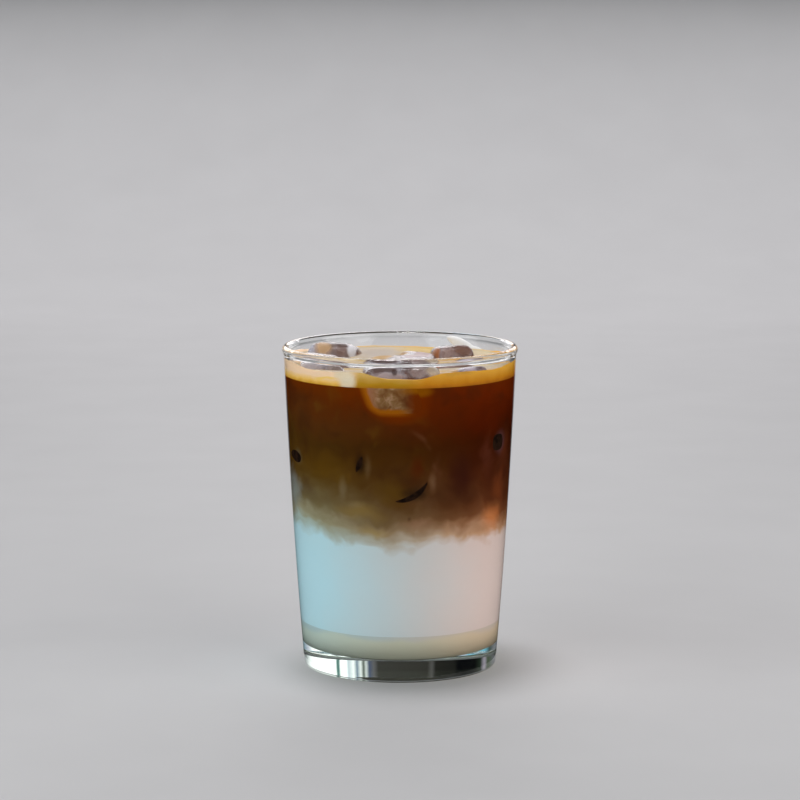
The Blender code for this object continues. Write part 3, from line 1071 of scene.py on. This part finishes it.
# What the thick foot refracts into view, by x in mm where it shows on the foot's front:
# first far behind the glass, then on the table close behind it
FOOT_FAR = (
    (-34, (0.20, 0.26, 0.30)),
    (-31.8, (1.5, 1.5, 1.5)),
    (-22.6, (1.5, 1.5, 1.5)),
    (-22, (0.10, 0.22, 0.20)),
    (-21.4, (0.10, 0.22, 0.20)),
    (-20.7, (1.5, 1.5, 1.5)),
    (-18.8, (1.5, 1.5, 1.5)),
    (-18, (0.65, 0.72, 0.80)),
    (-16.2, (1.2, 1.2, 1.2)),
    (-14.9, (0.20, 0.27, 0.36)),
    (-13.6, (1, 1, 1)),
    (-12.6, (0.05, 0.07, 0.05)),
    (-11.7, (0.75, 0.75, 0.75)),
    (-10.6, (0.08, 0.10, 0.17)),
    (-9, (0.14, 0.13, 0.14)),
    (-7.4, (0.050, 0.046, 0.042)),
    (9.4, (0.040, 0.036, 0.032)),
    (10.8, (0.10, 0.09, 0.09)),
    (12.2, (0.020, 0.018, 0.016)),
    (19, (0.014, 0.013, 0.012)),
    (20.2, (0.003, 0.003, 0.004)),
    (26.4, (0.003, 0.003, 0.004)),
    (28.4, (0.02, 0.03, 0.02)),
    (29.8, (0.40, 0.34, 0.42)),
    (31, (0.06, 0.09, 0.04)),
    (34, (0.30, 0.28, 0.34)),
)
FOOT_NEAR = (
    (-34, (0.30, 0.60, 0.75)),
    (-32, (0.75, 0.75, 0.90)),
    (-30, (1.5, 1.5, 1.5)),
    (-17, (1.4, 1.4, 1.4)),
    (-13, (0.12, 0.12, 0.12)),
    (14, (0.05, 0.05, 0.05)),
    (20, (0.20, 0.62, 0.80)),
    (29, (0.20, 0.55, 0.72)),
    (31, (0.04, 0.06, 0.05)),
    (34, (0.50, 0.46, 0.54)),
)

# Half width of the foot, then the cards' sections as distance behind the axis and height, all in mm
FOOT_WIDTH = 34.0
FAR_DISTANCE = 120.0
FAR_SECTION = ((FAR_DISTANCE, 0.1), (FAR_DISTANCE, 66.0))
NEAR_SECTION = [(distance, 0.1) for distance in (34.4, 41.0, 55.0, 80.0, FAR_DISTANCE)]
FOOT_CARD_STEPS = 80


def behind_foot(across, distance):
    """Where the sight line into the foot's front at x = across is at this distance behind, in mm."""
    share = max(-0.999, min(0.999, across / FOOT_WIDTH))
    turned = 2 * (math.asin(share) - math.asin(share / GLASS_IOR))
    angle = math.asin(across / distance) - turned
    return distance * math.sin(angle), distance * math.cos(angle)


def foot_card(name, tints, section):
    """Glows behind the glass along this section of distance and height; only the refractions see it."""
    first, last = tints[0][0], tints[-1][0]
    mesh_data = bmesh.new()
    shows_at = mesh_data.verts.layers.float.new("shows_at")
    columns = []
    for step in range(FOOT_CARD_STEPS + 1):
        across = first + (last - first) * step / FOOT_CARD_STEPS
        column = []
        for distance, height in section:
            x, y = behind_foot(across, distance)
            vert = mesh_data.verts.new((x * MM, y * MM, height * MM))
            vert[shows_at] = across
            column.append(vert)
        columns.append(column)
    for before, after in zip(columns, columns[1:]):
        for row in range(len(section) - 1):
            mesh_data.faces.new((before[row], after[row], after[row + 1], before[row + 1]))
    graph = Graph(name)
    across = graph.node("ShaderNodeAttribute", attribute_name="shows_at").outputs["Fac"]
    glow = graph.ramp(across, first, last, [(place, (*tint, 1.0)) for place, tint in tints])
    graph.set(Base_Color=(0.0, 0.0, 0.0, 1.0), Specular_IOR_Level=0.0)
    graph.set(Emission_Color=glow, Emission_Strength=1.0)
    stage_card(name, mesh_data, graph, reflected=False, refracted=True)


def sweep(width, front, back, rise, bend):
    """A floor that curves up into a backdrop."""
    mesh_data = bmesh.new()
    section = [(front, 0.0), (back - bend, 0.0)]
    for step in range(1, BEND_STEPS + 1):
        angle = math.pi / 2 * step / BEND_STEPS
        section.append((back - bend + bend * math.sin(angle), bend - bend * math.cos(angle)))
    section.append((back, rise))
    left, right = [[mesh_data.verts.new((x, y, z)) for y, z in section] for x in (-width / 2, width / 2)]
    for step in range(len(section) - 1):
        mesh_data.faces.new((left[step], right[step], right[step + 1], left[step + 1]))
    graph = Graph("studio_paper")
    grain = graph.noise(graph.place(), 0.02)
    paper = graph.mix(grain, (0.50, 0.50, 0.505, 1.0), (0.54, 0.54, 0.545, 1.0))
    graph.set(Base_Color=paper, Roughness=0.7)
    return add_object("studio_floor", mesh_data, graph.material)


floor = sweep(width=6.0, front=-2.5, back=1.6, rise=2.5, bend=0.6)

# Two windows in front light the drink, and the lamps above and behind draw the rims and the ice
area_light("window_left", around(-60, 24, 1.3), (1.4, 1.1), 8.9, (0.94, 0.98, 1.0))
area_light("window_right", around(60, 24, 1.3), (1.4, 1.1), 8.7, (1.0, 0.975, 0.955))
area_light("overhead", (-0.08, 0.12, 1.35), (0.34, 0.34), 8.0, (1.0, 0.98, 0.99))
area_light("back_window", around(180, 17, 1.45), (1.6, 0.36), 4.0, (1.0, 0.98, 1.0))
area_light("back_strip", around(180, 27, 1.45), (2.2, 0.09), 3.4, (1.0, 0.96, 0.98))
table_card()
foot_card("far_card", FOOT_FAR, FAR_SECTION)
foot_card("near_card", FOOT_NEAR, NEAR_SECTION)

world = bpy.data.worlds.new("studio")
bpy.context.scene.world = world
world.use_nodes = True
background = world.node_tree.nodes["Background"]
background.inputs["Color"].default_value = (0.9, 0.95, 1.0, 1.0)
background.inputs["Strength"].default_value = 0.10

camera_data = bpy.data.cameras.new("camera")
camera_data.lens = LENS
camera_data.sensor_width = SENSOR
camera = bpy.data.objects.new("camera", camera_data)
camera.location = (0.0, -CAMERA_DISTANCE, CAMERA_HEIGHT)
camera.rotation_euler = (math.pi / 2 - CAMERA_PITCH, 0.0, 0.0)
bpy.context.collection.objects.link(camera)
bpy.context.scene.camera = camera
bpy.context.scene.view_settings.view_transform = "Standard"
